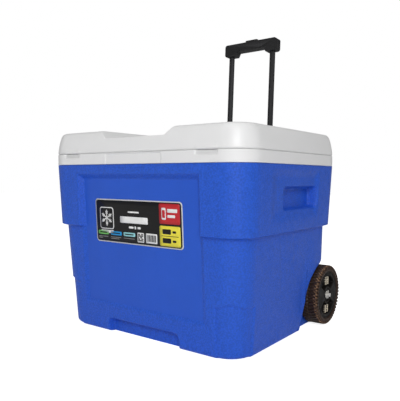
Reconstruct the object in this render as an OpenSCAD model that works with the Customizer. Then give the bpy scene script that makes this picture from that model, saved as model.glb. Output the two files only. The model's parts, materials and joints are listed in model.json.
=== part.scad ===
// Wheeled hard cooler with a telescopic tow handle and a hinged lid.
// X runs along the long side, Y from front to rear, Z up. The origin is at floor level,
// in the middle of the space that the whole cooler takes up.

/* [Body] */
// Width over the collar
cooler_w = 585; // [540:1:720]
// Depth over the collar
cooler_d = 462; // [430:1:570]
// Height of the outer body, up to the collar
body_h = 400; // [360:1:500]
// Corner radius seen from above
corner_r = 60; // [45:1:75]
// Height of the wider upper band
band_h = 147; // [110:1:180]
// How far the band stands out from the lower body
band_step = 10; // [4:0.5:14]
// Draft of the band in degrees
band_draft = 2.6; // [1:0.1:4]
// Draft of the lower body in degrees
lower_draft = 3.6; // [1.5:0.1:5]
// Wall of the outer shell
shell_wall = 3; // [2:0.5:5]

/* [Tub and collar] */
// Height of the collar above the outer body
collar_h = 26; // [20:1:36]
// Wall of the tub and the collar
tub_wall = 2.5; // [2:0.5:4]
// Insulated wall at the rim, outside of the collar to outside of the tub
rim_wall = 37; // [34:1:50]
// How much narrower the tub gets on each side towards its floor
tub_taper = 29; // [26:1:40]
// Height of the tub floor above the ground
tub_floor = 48; // [40:1:70]

/* [Lid] */
// Height of the lid over its two raised ends
lid_h = 52.6; // [46:0.2:64]
// Gap between the collar and the lid
lid_gap = 0.6; // [0.4:0.1:1.5]
// Wall of the lid
lid_wall = 3; // [2:0.5:4]
// Width of the channel across the lid, at its floor
channel_w = 179; // [178:1:220]
// Depth of the channel
channel_depth = 19; // [10:0.5:24]
// Slope of the channel sides, in run for each unit of depth
channel_slope = 1.1; // [0.6:0.1:2]
// How far the insulated plug of the lid reaches into the tub
plug_depth = 12; // [8:1:20]
// Gap round the plug
plug_gap = 3; // [2:0.5:6]

/* [Front panel and label] */
// Width of the recessed panel
panel_w = 346; // [290:1:400]
// Height of the recessed panel
panel_h = 293; // [240:1:300]
// Lower edge of the panel above the ground
panel_z = 73; // [66:1:90]
// Depth of the panel at its top edge, from the front of the collar
panel_depth = 15; // [11:1:19]
// Lean of the panel in degrees
panel_lean = 3.3; // [2.9:0.1:4.2]
// Width of the label
label_w = 266; // [200:1:280]
// Height of the label
label_h = 102; // [70:1:120]
// Middle of the label below the top of the panel
label_drop = 97; // [80:1:160]
// Middle of the label to the right of the middle of the panel
label_shift = -4; // [-12:1:12]
// Thickness of the label
label_t = 0.6; // [0.4:0.1:1.5]

/* [Hand pockets, notch and drain] */
// Length of the pocket in each end
pocket_l = 162; // [110:1:180]
// Height of the pocket
pocket_h = 49; // [36:1:60]
// Depth of the pocket
pocket_depth = 26; // [18:1:28]
// Middle of the pocket above the ground
pocket_z = 326; // [300:1:340]
// Middle of the pocket from the front of the collar
pocket_y = 253; // [230:1:270]
// Width of the notch under the front
notch_w = 213; // [150:1:250]
// Height of the notch
notch_h = 32; // [20:1:36]
// How far the notch reaches back from the front of the collar
notch_depth = 49; // [42:1:54]
// Height of the drain above the ground
drain_z = 64; // [60:1:80]
// Bore of the drain
drain_bore = 18; // [14:1:22]
// Distance of the drain from the front of the collar
drain_y = 150; // [120:1:220]

/* [Wheels] */
// Diameter of the wheels
wheel_d = 148; // [130:1:156]
// Width of the wheels
wheel_w = 46; // [36:1:48]
// Outer face of the wheels inside the end of the collar
wheel_inset = 1.5; // [0:0.5:6]
// Axle centre in front of the rear of the collar
axle_forward = 55; // [52:1:58]
// Diameter of the axle
axle_d = 9.5; // [8:0.5:11]
// Clearance of the wheels to the ground, because the base carries the load
wheel_lift = 2; // [1:0.5:4]
// Gap between the wheel and the arch over it
arch_gap = 6; // [5:0.5:10]

/* [Handle] */
// Distance between the two tubes
tube_pitch = 139; // [130:1:142]
// Outer diameter of the moving tubes
inner_tube_d = 16; // [14:0.5:17]
// Wall of all four tubes
tube_wall = 1.5; // [1:0.1:2]
// Play between the moving tube and the bore of the fixed tube
tube_play = 1; // [0.8:0.1:1.5]
// Tube centre line behind the collar, at the seam
rail_gap = 29; // [28:0.5:40]
// Lean of the rails in degrees
rail_lean = 3; // [2:0.1:4]
// Travel of the handle
handle_travel = 300; // [200:1:306]
// Top of the extended grip above the collar, along the rails
grip_rise = 346; // [300:1:360]
// Width of the grip
grip_w = 174; // [160:1:176]
// Depth of the grip
grip_d = 26; // [22:1:28]
// Thickness of the grip bar
grip_h = 24; // [20:1:28]
// Width of the release button
button_w = 40; // [30:1:60]
// Length of the release button across the bar
button_l = 16; // [12:1:18]
// Travel of the release button
button_travel = 4; // [2:0.5:5]

/* [Fits] */
// Clearance of running fits, on the radius
run_fit = 0.05; // [0.02:0.01:0.1]
// Gap between moving parts that pass each other
pass_gap = 0.4; // [0.3:0.1:0.8]

/* [Hidden] */
$fn = 48;
hull_fn = 32;
slip = 0.1;      // thickness of the slabs that a hull spans
past = 1;         // how far a cut runs past the face that it opens

// Heights
band_z = body_h - band_h;
seam_z = body_h + collar_h;
lid_z = seam_z + lid_gap;

// Rails: a frame that leans back, with its own height measured along the tubes
rail_y = cooler_d + rail_gap - seam_z * tan(rail_lean);
rail_seam = seam_z / cos(rail_lean);
outer_tube_d = inner_tube_d + 2 * (tube_play + tube_wall);
grip_top = rail_seam + grip_rise;
button_rise = 6;                     // button face above the grip
button_sink = 9;                     // depth of the button inside the grip
overall_d = rail_y + grip_top * sin(rail_lean) + grip_d / 2 * cos(rail_lean);
front_y = -overall_d / 2;

// Insets of the outer body from the collar, and of the tub
inset_band = band_h * tan(band_draft);
inset_step = inset_band + band_step;
inset_base = inset_step + band_z * tan(lower_draft);
function body_inset(z) = z > band_z ? (body_h - z) * tan(band_draft)
                                    : inset_step + (band_z - z) * tan(lower_draft);
tub_top_z = seam_z - tub_wall;
tub_bottom_z = tub_floor - tub_wall;
function tub_inset(z) = rim_wall + tub_taper * (tub_top_z - z) / (tub_top_z - tub_bottom_z);
tub_corner_r = 34;

// Wheels
wheel_r = wheel_d / 2;
wheel_z = wheel_r + wheel_lift;
wheel_out = cooler_w / 2 - wheel_inset;
wheel_in = wheel_out - wheel_w;
axle_y = cooler_d - axle_forward;
washer_t = 2.4;
hub_in = wheel_in - 0.5;
arch_x = hub_in - pass_gap - washer_t;
hub_out = wheel_out - 6;
arch_r = wheel_r + arch_gap;
arch_lean = 16;                      // front edge of the arch leans forward, degrees
arch_rise = 20;                      // roof of the arch climbs to the rear, degrees
arch_kink = 3;                       // turn of each straight edge away from the round, degrees
arch_start = 0.97;                   // the straight edges start inside the round, as a share of its radius
axle_end = hub_out + pass_gap + washer_t + 7;
cotter_d = 2.5;
cotter_gap = 0.3;
cotter_x = hub_out + pass_gap + washer_t + cotter_d / 2 + cotter_gap;
sleeve_d = axle_d + 3.5;

// Hinges
hinge_x = 185;
hinge_y = cooler_d + 4.8;
hinge_z = seam_z + 23;
hinge_w = 50;
knuckle_r = 4.2;
knuckle_w = 20;
hinge_pin_d = 4;
leaf_t = 3;
hinge_screw_z = body_h + 11;
leaf_screw_z = hinge_z + 10;
hinge_screw_x = [-15, 15];
screw_d = 4;

// Rail brackets, in height above the ground
upper_low = seam_z - 76;
upper_high = seam_z - 3;
lower_low = 26;
lower_high = 92;
bracket_w = 226;
bracket_screw_x = 100;
rail_screw_edge = 14;
rail_screw_drop = 32;
rail_screw_heights = [upper_low + rail_screw_edge, upper_high - rail_screw_drop,
    lower_low + rail_screw_edge, lower_high - rail_screw_edge];
rail_bore_l = 50;
hinge_bore_l = 40;
rail_head_h = 2.5;
rail_head_gap = 0.3;
rail_screw_in = 14;

// Handle parts, in height along the rails
socket_drop = 36;                    // grip top to the bottom of its tube sockets
inner_top = grip_top - 8;
inner_bottom = 62 + handle_travel;
glide_h = 22;
tube_bottom = 40;
tube_top = rail_seam + 2;
bush_h = 18;
tube_x = tube_pitch / 2;
pin_height = inner_bottom + glide_h + 12;
cavity_h = 16;
cavity_top = grip_top - 5;
cross_h = 6;
cross_d = 8;
rod_d = 5;
spring_d = 7;
spring_wire = 1;

// Drain, on the left end
drain_flat_x = cooler_w / 2 - body_inset(drain_z + drain_bore) - 1;
spout_d = drain_bore + 6;
flange_r = spout_d / 2 + 8;
drain_inner_x = cooler_w / 2 - tub_inset(drain_z - spout_d / 2) - tub_wall - 2;

// ---------- helpers ----------

// Puts a piece that is laid out from the front of the collar into the cooler's frame
module placed() translate([0, front_y, 0]) children();

// Frame of the rails: local z runs up along the tubes
module on_rails() placed() translate([0, rail_y, 0]) rotate([-rail_lean, 0, 0]) children();

// Rounded rectangle, as true arcs
module round_rect(w, d, r) {
    square([w - 2 * r, d], center = true);
    square([w, d - 2 * r], center = true);
    for (sx = [-1, 1], sy = [-1, 1])
        translate([sx * (w / 2 - r), sy * (d / 2 - r)]) circle(r);
}

// Slab with the outline of the cooler, moved in by inset, between two heights
module outline_slab(inset, z0, z1, r = corner_r, least = 24)
    translate([0, cooler_d / 2, z0]) linear_extrude(z1 - z0)
        round_rect(cooler_w - 2 * inset, cooler_d - 2 * inset, max(r - inset, least));

// Drafted block between two heights and two insets
module drafted(z0, inset0, z1, inset1, r = corner_r, least = 24) {
    $fn = hull_fn;
    hull() {
        outline_slab(inset0, z0, z0 + slip, r, least);
        outline_slab(inset1, z1 - slip, z1, r, least);
    }
}

// Outer body moved in by g, with its floor raised by the same amount
module body_form(g) {
    lower_g = max(g, 0);
    drafted(lower_g, inset_base + g, band_z + lower_g, inset_step + g);
    drafted(band_z + lower_g, inset_band + g, body_h + (g > 0 ? past : 0), g);
}

// Side view of a wheel arch, grown by g
module arch_profile(g) {
    r = arch_r + g;
    start = arch_start * r;
    front = [start * cos(180 - arch_lean), start * sin(180 - arch_lean)];
    roof = [start * cos(90 + arch_rise), start * sin(90 + arch_rise)];
    rear = axle_forward + 60;
    low = -wheel_z - past;
    circle(r);
    polygon([[front.x - (front.y - low) * tan(arch_lean + arch_kink), low], front, [0, 0], [0, low]]);
    rise = (rear - roof.x) * tan(arch_rise + arch_kink);
    polygon([[0, 0], roof, [rear, roof.y + rise], [rear, low], [0, low]]);
}

// Both wheel arches
module arches(g)
    for (s = [-1, 1])
        translate([s * (arch_x - g + 60), axle_y, wheel_z])
            rotate([90, 0, 90]) linear_extrude(120, center = true) arch_profile(g);

// Frame of the front panel: local z up the panel, local y into the cooler
module on_panel() translate([0, panel_depth, panel_z + panel_h]) rotate([panel_lean, 0, 0]) children();

// Recess of the front panel, with bevelled sides
module panel_cut(g) {
    out = panel_depth + 20;
    w = panel_w / 2 + g;
    on_panel() translate([0, g, 0]) intersection() {
        rotate([90, 0, 90]) linear_extrude(2 * (w + out), center = true)
            polygon([[0, g], [-out, out + g], [-out, -panel_h - out - g], [0, -panel_h - g]]);
        translate([0, 0, -panel_h - out]) linear_extrude(panel_h + 2 * out)
            polygon([[-w, 0], [w, 0], [w + out, -out], [-w - out, -out]]);
    }
}

// Hand pockets in both ends
module pocket_cut(g)
    for (s = [-1, 1])
        translate([s * (cooler_w / 2 - body_inset(pocket_z) - pocket_depth - g + 30), pocket_y, pocket_z])
            cube([60, pocket_l + 2 * g, pocket_h + 2 * g], center = true);

// Notch under the front
module notch_cut(g)
    translate([-notch_w / 2 - g, -past, -past])
        cube([notch_w + 2 * g, notch_depth + g + past, notch_h + g + past]);

// Everything that is pressed into the outer body
module body_cuts(g) {
    arches(g);
    panel_cut(g);
    pocket_cut(g);
    notch_cut(g);
    translate([-drain_flat_x + g, drain_y, drain_z]) rotate([0, -90, 0]) cylinder(r = flange_r + 2 + g, h = 40);
}

// Outside of the tub
module tub_outer()
    drafted(tub_bottom_z, rim_wall + tub_taper, tub_top_z, rim_wall, tub_corner_r + rim_wall, tub_corner_r);

// Space inside the tub
module tub_inner() {
    $fn = hull_fn;
    t = tub_wall;
    hull() {
        outline_slab(rim_wall + tub_taper + t, tub_floor, tub_floor + slip, 0, tub_corner_r - t);
        outline_slab(rim_wall + t, seam_z, seam_z + past, 0, tub_corner_r - t);
    }
}

// Pin, screw or tube that runs along X between two places
module along_x(x0, x1, d) translate([x0, 0, 0]) rotate([0, 90, 0]) cylinder(d = d, h = x1 - x0);

// Axle line
module axle_bore(half, d) translate([0, axle_y, wheel_z]) along_x(-half, half, d);

// Drain line, from the tub to the left
module drain_line(x0, x1, d) translate([0, drain_y, drain_z]) along_x(-x1, -x0, d);

// Screw places of the hinges and the rail brackets; a screw points to the front
module at_hinge_screws(z)
    for (s = [-1, 1], dx = hinge_screw_x)
        translate([s * hinge_x + dx, cooler_d, z]) rotate([90, 0, 0]) children();
module at_rail_screws()
    for (s = [-1, 1], z = rail_screw_heights)
        translate([s * bracket_screw_x, cooler_d - body_inset(z), z]) rotate([90, 0, 0]) children();

// ---------- body ----------

module body_shell() color("royalblue") placed() difference() {
    body_form(0);
    body_cuts(0);
    difference() {
        body_form(shell_wall);
        body_cuts(shell_wall);
    }
    axle_bore(cooler_w / 2, sleeve_d);
    drain_line(drain_flat_x - 10, drain_flat_x + 10, spout_d);
    at_rail_screws() cylinder(d = screw_d, h = rail_bore_l, center = true);
}

module foam_core() color("khaki") placed() difference() {
    union() {
        difference() {
            body_form(shell_wall);
            body_cuts(shell_wall);
        }
        outline_slab(shell_wall, body_h, tub_top_z);
    }
    tub_outer();
    axle_bore(cooler_w / 2, sleeve_d);
    drain_line(0, cooler_w / 2, spout_d);
    at_hinge_screws(hinge_screw_z) cylinder(d = screw_d, h = hinge_bore_l, center = true);
    at_rail_screws() cylinder(d = screw_d, h = rail_bore_l, center = true);
}

module body_liner() color("whitesmoke") placed() difference() {
    union() {
        difference() {
            outline_slab(0, body_h, seam_z);
            outline_slab(shell_wall, body_h - past, tub_top_z);
        }
        tub_outer();
    }
    tub_inner();
    drain_line(drain_inner_x - 10, cooler_w / 2, spout_d);
    at_hinge_screws(hinge_screw_z) cylinder(d = screw_d, h = hinge_bore_l, center = true);
}

module front_label() color("black") placed() on_panel()
    translate([label_shift, 0, -label_drop]) rotate([90, 0, 0]) linear_extrude(label_t)
        round_rect(label_w, label_h, 8);

// ---------- hinges ----------

// Fixed half of a hinge: a plate on the collar that carries the middle knuckle
module hinge_base(side) color("gainsboro") placed() difference() {
    translate([side * hinge_x, 0, 0]) union() {
        translate([-hinge_w / 2, cooler_d, body_h + 3]) cube([hinge_w, leaf_t, collar_h - 4]);
        translate([-hinge_w / 2, cooler_d + lid_gap, body_h + 4])
            cube([hinge_w, leaf_t - lid_gap, hinge_z - knuckle_r - 1 - body_h - 4]);
        translate([-knuckle_w / 2, cooler_d + lid_gap, hinge_z - knuckle_r - 2])
            cube([knuckle_w, leaf_t - lid_gap, knuckle_r + 2]);
        translate([0, hinge_y, hinge_z]) along_x(-knuckle_w / 2, knuckle_w / 2, 2 * knuckle_r);
    }
    translate([side * hinge_x, hinge_y, hinge_z]) along_x(-hinge_w, hinge_w, hinge_pin_d + 2 * run_fit);
    at_hinge_screws(hinge_screw_z) cylinder(d = screw_d, h = hinge_bore_l, center = true);
}

module hinge_pins() color("silver") placed()
    for (s = [-1, 1]) translate([s * hinge_x, hinge_y, hinge_z]) {
        along_x(-hinge_w / 2 - 2, hinge_w / 2 + 2, hinge_pin_d);
        for (e = [-1, 1]) translate([e * (hinge_w / 2 + 1.5), 0, 0]) along_x(-1, 1, hinge_pin_d + 2.5);
    }

module hinge_base_screws() color("silver") placed()
    at_hinge_screws(hinge_screw_z) union() {
        translate([0, 0, -leaf_t - 2]) cylinder(d = 2 * screw_d, h = 2);
        translate([0, 0, -leaf_t]) cylinder(d = screw_d, h = 15);
    }

// Lid outline as a soft crown: share of the height above the seam, and inset there
lid_steps = [[0, 0], [0.456, 3.5], [0.684, 8], [0.856, 15], [0.951, 21.5], [1, 29]];
module lid_form(g) {
    $fn = hull_fn;
    hull() for (p = lid_steps) {
        z = lid_z + p[0] * (lid_h - g);
        outline_slab(p[1] + g, z - (p[0] > 0 ? slip : 0), z + (p[0] > 0 ? 0 : slip));
    }
}

// Channel across the lid, for the grip and tubes; g lowers and widens it
module channel_cut(g)
    translate([0, cooler_d / 2, lid_z + lid_h]) rotate([90, 0, 0])
        linear_extrude(cooler_d + 2 * past, center = true)
            polygon([[-channel_w / 2 - g, -channel_depth - g],
                     [channel_w / 2 + g, -channel_depth - g],
                     [channel_w / 2 + g + (channel_depth + g + past) * channel_slope, past],
                     [-channel_w / 2 - g - (channel_depth + g + past) * channel_slope, past]]);

// Moving half of a hinge: a block on the lid with the two outer knuckles
module hinge_leaf(side) color("gainsboro") placed() difference() {
    translate([side * hinge_x, 0, 0]) difference() {
        union() {
            translate([-hinge_w / 2, cooler_d - 16, hinge_z + knuckle_r + pass_gap])
                cube([hinge_w, 16 + leaf_t, 12]);
            for (e = [-1, 1]) translate([e * (hinge_w + knuckle_w + 2 * pass_gap) / 4, 0, 0]) {
                w = (hinge_w - knuckle_w) / 2 - pass_gap;
                translate([-w / 2, hinge_y - knuckle_r, hinge_z]) cube([w, 2 * knuckle_r - 1, knuckle_r + 2]);
                translate([0, hinge_y, hinge_z]) along_x(-w / 2, w / 2, 2 * knuckle_r);
            }
        }
        translate([0, hinge_y, hinge_z]) along_x(-hinge_w, hinge_w, hinge_pin_d + 2 * run_fit);
    }
    lid_form(0);
    at_hinge_screws(leaf_screw_z) cylinder(d = screw_d, h = 60, center = true);
}

module hinge_leaf_screws() color("silver") placed()
    at_hinge_screws(leaf_screw_z) union() {
        translate([0, 0, -leaf_t - 2]) cylinder(d = 1.8 * screw_d, h = 2);
        translate([0, 0, -leaf_t]) cylinder(d = screw_d, h = 24);
    }

// ---------- lid ----------

// Space inside the lid's outer wall
module lid_cavity() difference() {
    lid_form(lid_wall);
    channel_cut(lid_wall);
}

module lid_shell() color("whitesmoke") placed() difference() {
    lid_form(0);
    channel_cut(0);
    lid_cavity();
    outline_slab(lid_wall, lid_z - past, lid_z + tub_wall);
    at_hinge_screws(leaf_screw_z) cylinder(d = screw_d, h = 60, center = true);
}

// Plug that hangs into the tub, with its walls moved in by g
plug_inset = rim_wall + tub_wall + plug_gap + 1;
module lid_plug(g, z0, z1)
    outline_slab(plug_inset + g, z0, z1, 0, tub_corner_r - tub_wall - plug_gap - g);

module lid_liner() color("white") placed() difference() {
    union() {
        outline_slab(lid_wall, lid_z, lid_z + tub_wall);
        lid_plug(0, lid_z - plug_depth, lid_z);
    }
    lid_plug(tub_wall, lid_z - plug_depth + tub_wall, lid_z + tub_wall + past);
}

module lid_foam() color("khaki") placed() difference() {
    union() {
        lid_cavity();
        lid_plug(tub_wall, lid_z - plug_depth + tub_wall, lid_z + tub_wall + past);
    }
    difference() {
        outline_slab(0, lid_z - past, lid_z + tub_wall);
        lid_plug(tub_wall, lid_z - 2 * past, lid_z + tub_wall + past);
    }
    at_hinge_screws(leaf_screw_z) cylinder(d = screw_d, h = 60, center = true);
}

// ---------- rails ----------

// Clamp that holds both fixed tubes against the rear wall
module rail_bracket(low, high) color([0.12, 0.12, 0.13]) difference() {
    placed() difference() {
        translate([0, cooler_d, (low + high) / 2]) cube([bracket_w, 90, high - low], center = true);
        body_form(0);
        outline_slab(0, body_h - past, lid_z + lid_h);
        // open back between the two tube posts
        translate([0, cooler_d + rail_gap + 28, (low + high) / 2])
            cube([tube_pitch - 2 * outer_tube_d, 60, high], center = true);
    }
    // rear face, parallel to the rails
    on_rails() translate([-cooler_w / 2, outer_tube_d / 2 + 3, -past]) cube([cooler_w, 100, 2 * body_h]);
    // flanges thin down beside the tube posts
    on_rails() for (s = [-1, 1])
        translate([s * (tube_x + outer_tube_d / 2 + 4) + (s < 0 ? -60 : 0), -outer_tube_d / 2, -past])
            cube([60, 100, 2 * body_h]);
    on_rails() for (s = [-1, 1])
        translate([s * tube_x, 0, -past]) cylinder(d = outer_tube_d, h = 2 * body_h);
    // fixing holes and room for the screw heads
    placed() at_rail_screws() translate([0, 0, -60]) cylinder(d = screw_d, h = 90);
}

module rail_bracket_upper() rail_bracket(upper_low, upper_high);
module rail_bracket_lower() rail_bracket(lower_low, lower_high);

// Face of the bracket flange behind the body, where a screw head sits
function flange_face(z) = rail_y + z * tan(rail_lean) - outer_tube_d / 2 / cos(rail_lean)
                          - (cooler_d - body_inset(z));
module rail_screws() color("silver") placed()
    for (s = [-1, 1], z = rail_screw_heights)
        translate([s * bracket_screw_x, cooler_d - body_inset(z), z]) rotate([90, 0, 0]) {
            translate([0, 0, -flange_face(z) - rail_head_gap - rail_head_h])
                cylinder(d = 2.2 * screw_d, h = rail_head_h);
            translate([0, 0, -flange_face(z) - rail_head_gap])
                cylinder(d = screw_d, h = flange_face(z) + rail_screw_in);
        }

// Straight tube or ring on one rail
module rail_tube(side, z0, z1, od, id)
    on_rails() translate([side * tube_x, 0, z0]) difference() {
        cylinder(d = od, h = z1 - z0);
        translate([0, 0, -past]) cylinder(d = id, h = z1 - z0 + 2 * past);
    }

outer_bore = inner_tube_d + 2 * tube_play;
module outer_tube(side) color([0.16, 0.16, 0.17])
    rail_tube(side, tube_bottom, tube_top, outer_tube_d, outer_bore);
module tube_bush(side) color([0.1, 0.1, 0.1])
    rail_tube(side, tube_top - bush_h, tube_top, outer_bore, inner_tube_d + 2 * run_fit);
module tube_glide(side) color([0.1, 0.1, 0.1])
    rail_tube(side, inner_bottom, inner_bottom + glide_h, outer_bore - 2 * run_fit, inner_tube_d);

module inner_tube(side) color([0.16, 0.16, 0.17]) difference() {
    rail_tube(side, inner_bottom, inner_top, inner_tube_d, inner_tube_d - 2 * tube_wall);
    // hole for the lock pin, and slot for the cross bar of the button
    on_rails() translate([side * tube_x, 0, pin_height]) rotate([0, side * 90, 0])
        cylinder(d = rod_d + 2 * run_fit, h = inner_tube_d);
    on_rails() translate([0, 0, cavity_top - cavity_h / 2])
        cube([tube_pitch, cross_d + 2, cavity_h + 2], center = true);
}

module lock_pins() color("silver") on_rails()
    for (s = [-1, 1]) translate([s * (tube_x + rod_d / 2 + pass_gap), 0, pin_height]) rotate([0, s * 90, 0])
        cylinder(d = rod_d, h = inner_tube_d / 2 - rod_d / 2 - pass_gap - 0.1);

// ---------- grip ----------

// Front view of the grip, hollowed under its middle for the hand
module grip_profile() translate([0, grip_top - socket_drop / 2]) difference() {
    round_rect(grip_w, socket_drop, 7);
    polygon([[-tube_x + 17, -socket_drop / 2 - past], [tube_x - 17, -socket_drop / 2 - past],
             [tube_x - 23, socket_drop / 2 - grip_h], [-tube_x + 23, socket_drop / 2 - grip_h]]);
}

// Half of the grip; sign -1 is the front half
module grip_half(sign) color([0.1, 0.1, 0.11]) on_rails() difference() {
    translate([0, sign < 0 ? 0 : grip_d / 2, 0]) rotate([90, 0, 0])
        linear_extrude(grip_d / 2) grip_profile();
    // cavity for the cross bar, and the window of the button
    translate([0, 0, cavity_top - cavity_h / 2])
        cube([tube_pitch + inner_tube_d, cross_d + 2, cavity_h], center = true);
    translate([0, 0, grip_top])
        cube([button_w + 2 * pass_gap, button_l + 2 * pass_gap, 2 * (button_sink + button_travel + 1)],
            center = true);
    for (s = [-1, 1]) translate([s * tube_x, 0, grip_top - socket_drop - past])
        cylinder(d = inner_tube_d, h = inner_top - grip_top + socket_drop + past);
    for (x = grip_screw_x) translate([x, 0, grip_screw_h])
        rotate([90, 0, 0]) cylinder(d = 3, h = 2 * grip_d, center = true);
    for (x = grip_screw_x) translate([x, grip_d / 2 - 2, grip_screw_h])
        rotate([-90, 0, 0]) cylinder(d = 6 + 2 * pass_gap, h = grip_d);
}
grip_screw_x = [-36, 36];
grip_screw_h = grip_top - grip_h + 2.5;

module grip_screws() color("silver") on_rails()
    for (x = grip_screw_x) translate([x, grip_d / 2 - 2, grip_screw_h]) rotate([90, 0, 0]) {
        cylinder(d = 3, h = grip_d - 6);
        translate([0, 0, -1.6]) cylinder(d = 6, h = 1.6);
    }

// Button with its cross bar inside the grip
cross_z = grip_top - button_sink - cross_h / 2;
module release_button() color([0.2, 0.2, 0.21]) on_rails() {
    translate([0, 0, grip_top + button_rise]) rotate([180, 0, 0])
        linear_extrude(button_rise + button_sink) round_rect(button_w, button_l, 4);
    translate([0, 0, cross_z]) cube([tube_pitch + rod_d, cross_d, cross_h], center = true);
}

module push_rods() color("silver") on_rails()
    for (s = [-1, 1]) translate([s * tube_x, 0, pin_height - 6])
        cylinder(d = rod_d, h = cross_z - cross_h / 2 - pin_height + 6);

// Coil spring under the cross bar
spring_low = cavity_top - cavity_h;
spring_high = cross_z - cross_h / 2;
spring_turns = 3;
spring_sides = 6;
spring_rings = 48;
function spring_point(i, j) = let(
    a = 360 * spring_turns * i / spring_rings,
    b = 360 * j / spring_sides,
    r = spring_d / 2 - spring_wire / 2 + spring_wire / 2 * cos(b),
    z = spring_low + spring_wire / 2 + (spring_high - spring_low - spring_wire) * i / spring_rings)
    [r * cos(a), r * sin(a), z + spring_wire / 2 * sin(b)];
module button_spring() color("silver") on_rails() polyhedron(
    points = [for (i = [0:spring_rings], j = [0:spring_sides - 1]) spring_point(i, j)],
    faces = concat(
        [for (i = [0:spring_rings - 1], j = [0:spring_sides - 1])
            [i * spring_sides + j, (i + 1) * spring_sides + j,
             (i + 1) * spring_sides + (j + 1) % spring_sides, i * spring_sides + (j + 1) % spring_sides]],
        [[for (j = [0:spring_sides - 1]) j]],
        [[for (j = [spring_sides - 1:-1:0]) spring_rings * spring_sides + j]]));

// ---------- wheels and axle ----------

module axle() color("silver") placed() difference() {
    axle_bore(axle_end, axle_d);
    for (s = [-1, 1]) translate([s * cotter_x, axle_y, wheel_z]) cylinder(d = cotter_d, h = 40, center = true);
}

module axle_sleeve() color("gray") placed() difference() {
    axle_bore(arch_x, sleeve_d);
    axle_bore(arch_x + past, axle_d);
}

// Washers on both sides of each wheel
module axle_washers() color("silver") placed()
    for (s = [-1, 1], x = [arch_x + washer_t / 2, hub_out + pass_gap + washer_t / 2])
        translate([s * x, axle_y, wheel_z]) rotate([0, 90, 0]) difference() {
            cylinder(d = 2 * axle_d, h = washer_t, center = true);
            cylinder(d = axle_d, h = washer_t + past, center = true);
        }

module cotter_pins() color("silver") placed()
    for (s = [-1, 1]) translate([s * cotter_x, axle_y, wheel_z]) {
        cylinder(d = cotter_d, h = axle_d + 8, center = true);
        translate([0, 0, axle_d / 2 + 4]) rotate([0, 90, 0]) cylinder(r = 2.6, h = cotter_d, center = true);
    }

rim_r = wheel_r - 15;
hub_r = 15;
// Turned part on the axle line of one wheel: 2D shape with x as radius and y as distance outwards
module turned(side) placed() translate([0, axle_y, wheel_z]) rotate([0, side * 90, 0])
    rotate_extrude($fn = 96) children();

module wheel_tyre(side) color([0.14, 0.11, 0.1]) turned(side) polygon([
    [rim_r, wheel_in + 2], [wheel_r - 5, wheel_in], [wheel_r - 1, wheel_in + 5],
    [wheel_r, wheel_in + wheel_w / 2], [wheel_r - 1, wheel_out - 5], [wheel_r - 5, wheel_out],
    [rim_r, wheel_out - 2]]);

module wheel_hub(side) color([0.1, 0.1, 0.1]) turned(side) {
    bore_r = axle_d / 2 + run_fit;
    translate([rim_r - 5, wheel_in + 3]) square([5, wheel_w - 6]);
    translate([bore_r + 1, wheel_out - 14]) square([rim_r - bore_r - 3, 5]);
    translate([bore_r, hub_in]) square([hub_r - bore_r, hub_out - hub_in]);
}

// ---------- drain ----------

module drain_spout() color("white") placed() difference() {
    union() {
        drain_line(drain_inner_x, drain_flat_x + 2, spout_d);
        drain_line(drain_flat_x + 2, drain_flat_x + 5, 2 * flange_r);
    }
    drain_line(0, cooler_w, drain_bore);
}

module drain_gasket() color([0.1, 0.1, 0.1]) placed() difference() {
    drain_line(drain_flat_x, drain_flat_x + 2, 2 * flange_r - 4);
    drain_line(0, cooler_w, spout_d);
}

module drain_nut() color("white") placed() difference() {
    drain_line(drain_inner_x - 3, drain_inner_x + 1, spout_d + 8);
    drain_line(0, cooler_w, drain_bore + 2);
    drain_line(drain_inner_x, cooler_w, spout_d);
}

module drain_plug() color("white") placed() {
    drain_line(drain_flat_x - 12, drain_flat_x + 5 + pass_gap, drain_bore - 2 * run_fit);
    drain_line(drain_flat_x + 5 + pass_gap, drain_flat_x + 10, drain_bore + 10);
    translate([-drain_flat_x - 13, drain_y, drain_z]) cube([8, 5, drain_bore + 4], center = true);
}

// ---------- pieces ----------

body_shell();
foam_core();
body_liner();
front_label();
hinge_base(-1);  // hinge_base_left
hinge_base(1);  // hinge_base_right
hinge_base_screws();
hinge_pins();
rail_bracket_upper();
rail_bracket_lower();
rail_screws();
outer_tube(-1);  // outer_tube_left
outer_tube(1);  // outer_tube_right
tube_bush(-1);  // tube_bush_left
tube_bush(1);  // tube_bush_right
axle();
axle_sleeve();
axle_washers();
cotter_pins();
drain_spout();
drain_gasket();
drain_nut();
drain_plug();
lid_shell();
lid_foam();
lid_liner();
hinge_leaf(-1);  // hinge_leaf_left
hinge_leaf(1);  // hinge_leaf_right
hinge_leaf_screws();
inner_tube(-1);  // inner_tube_left
inner_tube(1);  // inner_tube_right
tube_glide(-1);  // tube_glide_left
tube_glide(1);  // tube_glide_right
lock_pins();
grip_half(-1);  // grip_front
grip_half(1);  // grip_rear
grip_screws();
release_button();
push_rods();
button_spring();
wheel_tyre(-1);  // wheel_tyre_left
wheel_hub(-1);  // wheel_hub_left
wheel_tyre(1);  // wheel_tyre_right
wheel_hub(1);  // wheel_hub_right
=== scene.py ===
import json
import math
import bpy
import numpy as np
from mathutils import Matrix, Vector


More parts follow.
